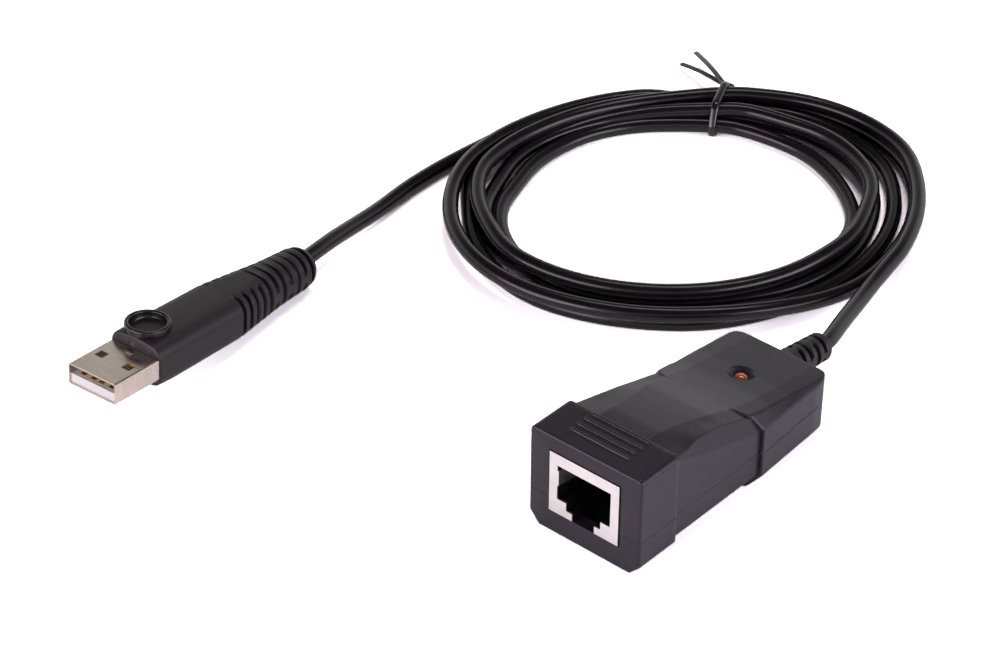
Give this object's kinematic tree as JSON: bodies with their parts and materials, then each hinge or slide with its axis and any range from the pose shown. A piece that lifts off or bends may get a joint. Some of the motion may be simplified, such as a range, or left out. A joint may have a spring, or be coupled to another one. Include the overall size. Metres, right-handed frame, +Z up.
{
  "type": "usb console adapter",
  "caption": "Adapter housing with a shielded modular socket and indicator lamp, on a coiled, tied cord that ends in a moulded plug.",
  "frame": {"origin": "middle of the housing's underside, on the surface that it stands on", "axes": "+Z up, -Y out of the network socket, +Y along the housing towards its cord, +X to the right seen from the socket"},
  "size_m": [0.1179, 0.1856, 0.0217],
  "materials": {
    "housing_upper": "fine satin grain",
    "housing_lower": "fine satin grain",
    "socket_shield": "bright nickel plate",
    "socket_insert": "satin",
    "socket_contacts": "gold plate",
    "board": "solder mask",
    "chip_small": "moulded",
    "chip_small_legs": "tinned",
    "chip_large": "moulded",
    "chip_large_legs": "tinned",
    "crystal_can": "satin",
    "capacitor_bodies": "fired",
    "lamp_lens": "clear amber",
    "lamp_leads": "tinned",
    "relief": "moulded",
    "core_red": "smooth",
    "core_white": "smooth",
    "core_green": "smooth",
    "core_black": "smooth",
    "cord_jacket_near": "semi gloss",
    "cord_jacket_coil": "semi gloss",
    "cord_jacket_far": "semi gloss",
    "tie": "glossy",
    "overmould": "satin",
    "plug_core": "moulded",
    "plug_shell": "nickel plate",
    "plug_tongue": "moulded",
    "plug_contacts": "gold plate"
  },
  "bodies": {
    "root": {"upper_shell": "housing_upper", "lower_shell": "housing_lower", "rj45_shield": "socket_shield", "rj45_insert": "socket_insert", "rj45_contacts": "socket_contacts", "circuit_board": "board", "usb_serial_chip": "chip_small", "usb_serial_legs": "chip_small_legs", "line_driver_chip": "chip_large", "line_driver_legs": "chip_large_legs", "crystal": "crystal_can", "capacitors": "capacitor_bodies", "led_lamp": "lamp_lens", "led_leads": "lamp_leads", "strain_relief": "relief", "core_red": "core_red", "core_white": "core_white", "core_green": "core_green", "core_black": "core_black", "cord_lead_adapter": "cord_jacket_near", "cord_coil": "cord_jacket_coil", "cord_lead_plug": "cord_jacket_far", "cable_tie": "tie", "plug_body": "overmould", "plug_core": "plug_core", "usb_shell": "plug_shell", "usb_tongue": "plug_tongue", "usb_contacts": "plug_contacts"}
  },
  "joints": []
}
